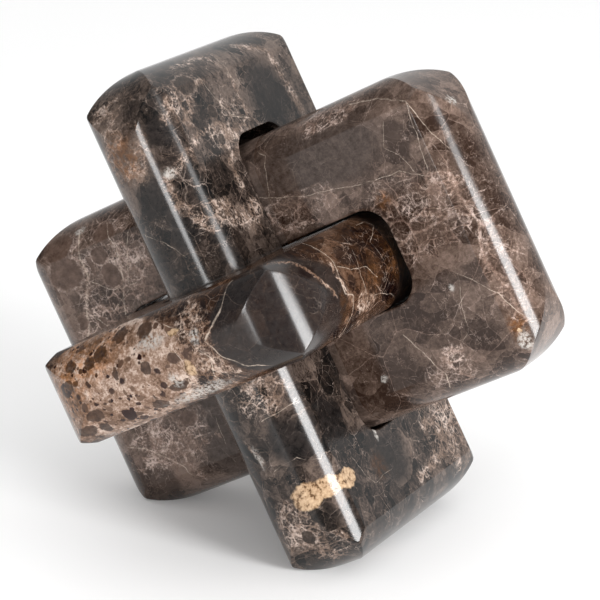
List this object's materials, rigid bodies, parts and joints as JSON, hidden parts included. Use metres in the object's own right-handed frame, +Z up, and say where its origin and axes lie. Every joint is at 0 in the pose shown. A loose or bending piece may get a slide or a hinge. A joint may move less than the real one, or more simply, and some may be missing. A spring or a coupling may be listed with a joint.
{
  "type": "marble knot paperweight",
  "caption": "Interlocking knot of equal polished marble slabs with bowed edges and rounded corners, each slotted through its middle and locked by the next.",
  "frame": {"origin": "on the desk surface, under the middle of the knot's bounding box", "axes": "+Z up from the desk, +X to the side where the closed slab slopes up, -Y to the front, where the key slab points at the viewer"},
  "size_m": [0.1362, 0.128, 0.1163],
  "materials": {
    "closed_slab": "polished dark brown marble with tan veins",
    "key_slab": "polished brown marble with tan patches and dark clasts",
    "gate_slab": "polished near black marble with tan and ochre patches"
  },
  "bodies": {
    "stand": {"gate_slab": "gate_slab", "closed_slab": "closed_slab"},
    "key": {"key_slab": "key_slab"}
  },
  "joints": [
    {"name": "key_slide", "type": "slide", "parent": "stand", "child": "key", "axis": [0, -1, 0], "range_m": [0, 0.047]}
  ]
}
